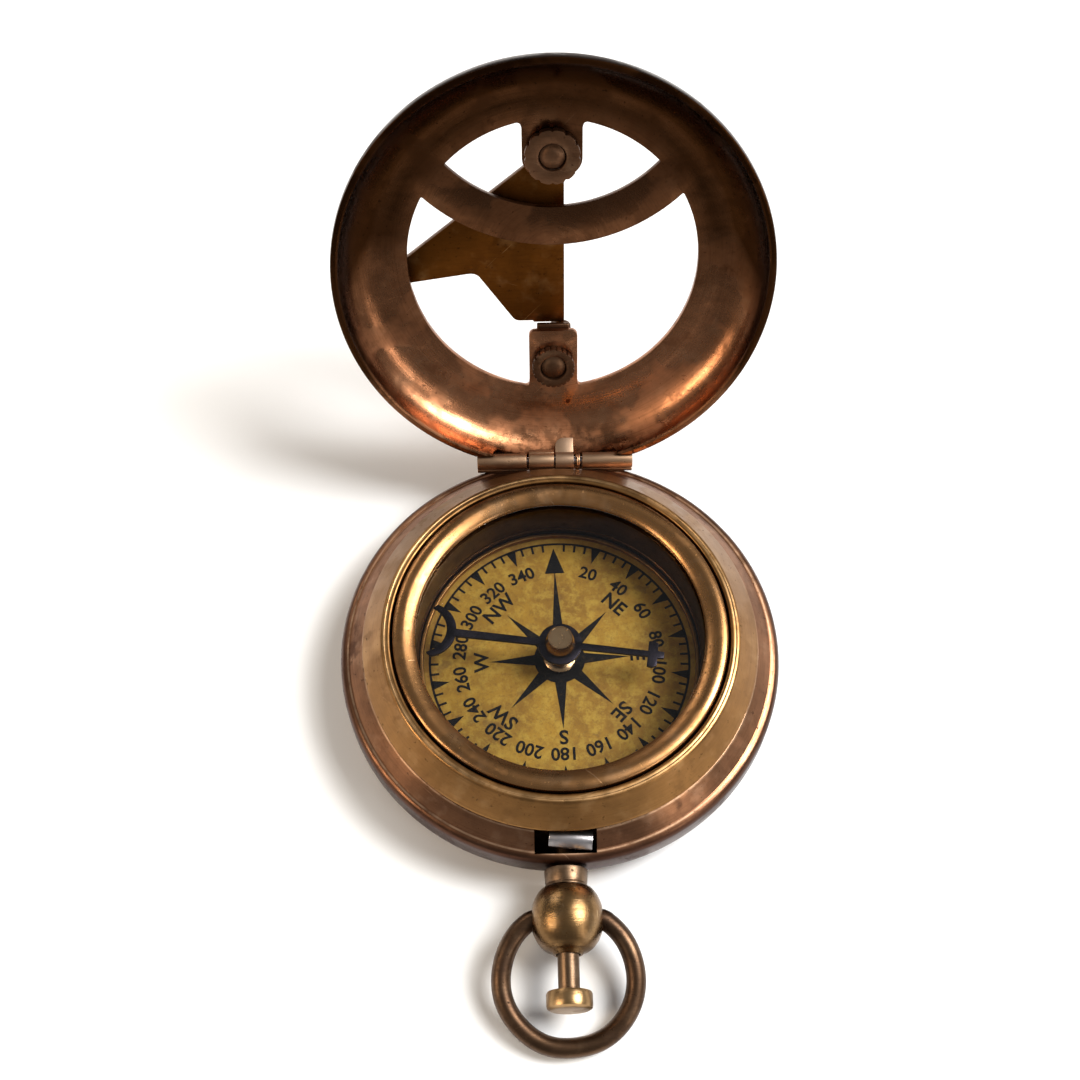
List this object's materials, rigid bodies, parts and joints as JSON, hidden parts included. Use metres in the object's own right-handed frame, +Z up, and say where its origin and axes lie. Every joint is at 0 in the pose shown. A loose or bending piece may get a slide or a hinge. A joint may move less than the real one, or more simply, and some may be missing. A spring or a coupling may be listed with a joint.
{
  "type": "pocket sundial compass",
  "caption": "Push-button pocket sundial compass: round brass case with compass under glass, hinged open-window lid, folding gnomon and pendant bow ring.",
  "frame": {"origin": "centre of the flat back of the case", "axes": "+Z up through the dial, +Y towards the lid hinge, -Y towards the pendant"},
  "size_m": [0.05, 0.0939, 0.0514],
  "materials": {
    "bronze": "aged bronze, satin, worn bright on edges",
    "dark_bronze": "dark patina",
    "brass": "polished, slightly tarnished",
    "copper": "copper-brown lacquered brass",
    "steel": "plain steel",
    "blued_steel": "blued steel",
    "dial_print": "aged printed brass dial",
    "glass": "clear flat glass"
  },
  "bodies": {
    "case": {"case_shell": "bronze", "collar_ring": "bronze", "compass_bowl": "dark_bronze", "bezel_ring": "brass", "glass": "glass", "dial_plate": "dial_print", "dial_ring": "dark_bronze", "pivot_base": "brass", "pivot_pin": "steel", "hinge_knuckle_left": "copper", "hinge_knuckle_right": "copper", "hinge_pin": "steel", "lift_spring_coil": "brass", "pendant_neck": "bronze", "pendant_ball": "brass", "button_spring": "steel"},
    "needle": {"needle": "blued_steel", "needle_cap": "brass"},
    "lid": {"lid_frame": "copper", "lid_knuckle": "copper", "lift_spring_leg": "brass", "gnomon_post_top": "brass", "gnomon_post_low": "brass", "post_nut_top": "dark_bronze", "post_nut_low": "dark_bronze"},
    "gnomon": {"gnomon_plate": "brass"},
    "button": {"push_rod": "brass", "button_head": "brass", "catch": "steel"},
    "bow": {"bow_ring": "dark_bronze"}
  },
  "joints": [
    {"name": "lid_hinge", "type": "hinge", "parent": "case", "child": "lid", "pos_m": [0, 0.0241, 0.0079], "axis": [1, 0, 0], "range_deg": [0, 118], "stiffness_Nm_per_rad": 0.0016, "springref_deg": -28.65},
    {"name": "gnomon_fold", "type": "hinge", "parent": "lid", "child": "gnomon", "pos_m": [0.0009, 0.0301, 0.00471], "axis": [0, -0.4695, -0.8829], "range_deg": [0, 90]},
    {"name": "needle_spin", "type": "hinge", "parent": "case", "child": "needle", "pos_m": [0, 0, 0.00875], "axis": [0, 0, 1], "continuous": true},
    {"name": "button_press", "type": "slide", "parent": "case", "child": "button", "axis": [0, 1, 0], "range_m": [0, 0.0012], "stiffness_N_per_m": 600, "springref_m": -0.002, "deforming": ["button_spring"]},
    {"name": "bow_swing", "type": "hinge", "parent": "case", "child": "bow", "pos_m": [0, -0.0304, 0.0045], "axis": [-1, 0, 0], "range_deg": [-75, 125]}
  ]
}
